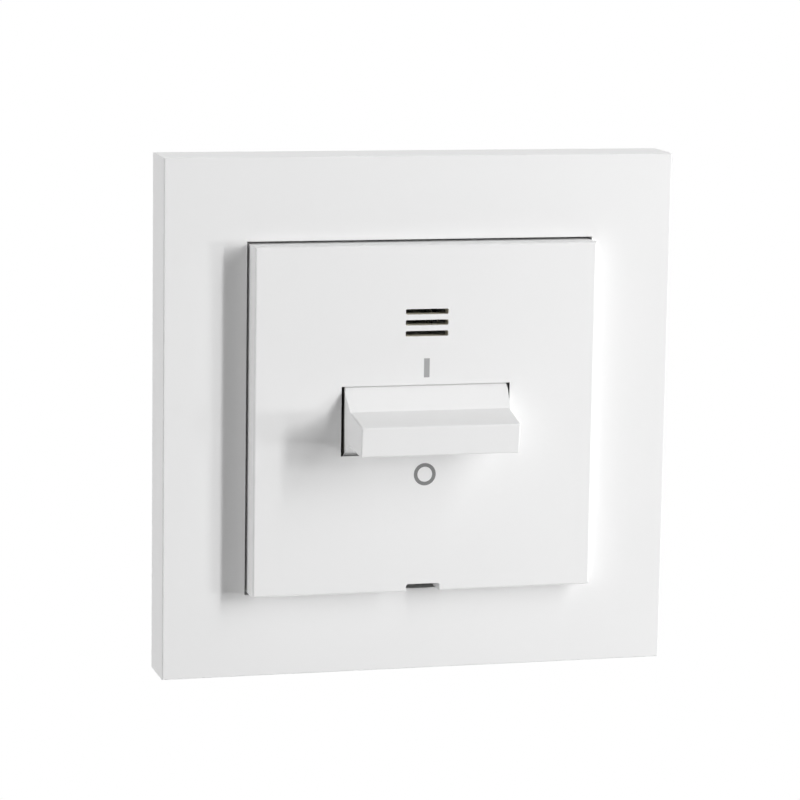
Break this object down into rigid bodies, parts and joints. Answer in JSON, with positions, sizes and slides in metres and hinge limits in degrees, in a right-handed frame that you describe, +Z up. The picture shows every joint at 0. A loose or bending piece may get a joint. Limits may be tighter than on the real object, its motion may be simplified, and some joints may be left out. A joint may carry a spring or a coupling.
{
  "type": "illuminated light switch",
  "caption": "White flush-mounted switch: square frame, raised centre plate with lamp slots, wide flat lever, and an insert with clamps and claws behind.",
  "frame": {"origin": "middle of the mounting ring's back face, on the wall plane, halfway between the box screws", "axes": "+Y into the wall, +Z up, +X to the right as seen from the front"},
  "size_m": [0.082, 0.0441, 0.082],
  "materials": {
    "white_moulding": "fine satin, moulded",
    "grey_moulding": "satin, moulded",
    "pale_moulding": "satin, moulded",
    "key_moulding": "satin, moulded",
    "zinc_steel": "pressed, zinc plated",
    "spring_steel": "bright",
    "contact_brass": "pressed, bright",
    "lamp_glass": "clear"
  },
  "bodies": {
    "insert": {"cover_frame": "white_moulding", "centre_plate": "white_moulding", "mounting_ring": "zinc_steel", "insert_base": "grey_moulding", "insert_cover": "pale_moulding", "cover_screws": "zinc_steel", "lamp_holder": "pale_moulding", "pilot_lamp": "lamp_glass", "lamp_leads": "spring_steel", "line_contact_left": "contact_brass", "load_contact_left": "contact_brass", "claw_screw_left": "zinc_steel", "clamp_spring_upper_left": "spring_steel", "clamp_spring_lower_left": "spring_steel", "line_contact_right": "contact_brass", "load_contact_right": "contact_brass", "claw_screw_right": "zinc_steel", "clamp_spring_upper_right": "spring_steel", "clamp_spring_lower_right": "spring_steel"},
    "lever": {"toggle_lever": "white_moulding", "plunger_spring_left": "spring_steel", "plunger_spring_right": "spring_steel"},
    "plunger_left": {"plunger_left": "contact_brass"},
    "rocker_left": {"contact_rocker_left": "contact_brass"},
    "claw_left": {"claw_left": "zinc_steel"},
    "nut_left": {"wedge_nut_left": "zinc_steel"},
    "key_upper_left": {"release_key_upper_left": "key_moulding"},
    "key_lower_left": {"release_key_lower_left": "key_moulding"},
    "plunger_right": {"plunger_right": "contact_brass"},
    "rocker_right": {"contact_rocker_right": "contact_brass"},
    "claw_right": {"claw_right": "zinc_steel"},
    "nut_right": {"wedge_nut_right": "zinc_steel"},
    "key_upper_right": {"release_key_upper_right": "key_moulding"},
    "key_lower_right": {"release_key_lower_right": "key_moulding"}
  },
  "joints": [
    {"name": "lever_tilt", "type": "hinge", "parent": "insert", "child": "lever", "pos_m": [0, -0.0097, 0], "axis": [-1, 0, 0], "range_deg": [0, 16]},
    {"name": "plunger_left_slide", "type": "slide", "parent": "lever", "child": "plunger_left", "axis": [0, -0.9903, -0.1392], "range_m": [0, 0.0004], "stiffness_N_per_m": 500, "springref_m": -0.001},
    {"name": "rocker_left_tilt", "type": "hinge", "parent": "insert", "child": "rocker_left", "pos_m": [-0.009, 0.00386, 0], "axis": [1, 0, 0], "range_deg": [0, 16]},
    {"name": "key_upper_left_push", "type": "slide", "parent": "insert", "child": "key_upper_left", "axis": [0, -1, 0], "range_m": [0, 0.0012], "stiffness_N_per_m": 300, "springref_m": -0.0005},
    {"name": "key_lower_left_push", "type": "slide", "parent": "insert", "child": "key_lower_left", "axis": [0, -1, 0], "range_m": [0, 0.0012], "stiffness_N_per_m": 300, "springref_m": -0.0005},
    {"name": "nut_left_travel", "type": "slide", "parent": "insert", "child": "nut_left", "axis": [0, -1, 0], "range_m": [0, 0.007]},
    {"name": "claw_left_swing", "type": "hinge", "parent": "insert", "child": "claw_left", "pos_m": [-0.024, 0.0019, 0], "axis": [0, 0, 1], "range_deg": [0, 15]},
    {"name": "plunger_right_slide", "type": "slide", "parent": "lever", "child": "plunger_right", "axis": [0, -0.9903, -0.1392], "range_m": [0, 0.0004], "stiffness_N_per_m": 500, "springref_m": -0.001},
    {"name": "rocker_right_tilt", "type": "hinge", "parent": "insert", "child": "rocker_right", "pos_m": [0.009, 0.00386, 0], "axis": [1, 0, 0], "range_deg": [0, 16]},
    {"name": "key_upper_right_push", "type": "slide", "parent": "insert", "child": "key_upper_right", "axis": [0, -1, 0], "range_m": [0, 0.0012], "stiffness_N_per_m": 300, "springref_m": -0.0005},
    {"name": "key_lower_right_push", "type": "slide", "parent": "insert", "child": "key_lower_right", "axis": [0, -1, 0], "range_m": [0, 0.0012], "stiffness_N_per_m": 300, "springref_m": -0.0005},
    {"name": "nut_right_travel", "type": "slide", "parent": "insert", "child": "nut_right", "axis": [0, -1, 0], "range_m": [0, 0.007]},
    {"name": "claw_right_swing", "type": "hinge", "parent": "insert", "child": "claw_right", "pos_m": [0.024, 0.0019, 0], "axis": [0, 0, -1], "range_deg": [0, 15]}
  ],
  "couplings": [
    {"joint": "rocker_left_tilt", "follows": "lever_tilt", "ratio": 1},
    {"joint": "claw_left_swing", "follows": "nut_left_travel", "rad_per_m": 37.4},
    {"joint": "rocker_right_tilt", "follows": "lever_tilt", "ratio": 1},
    {"joint": "claw_right_swing", "follows": "nut_right_travel", "rad_per_m": 37.4}
  ]
}
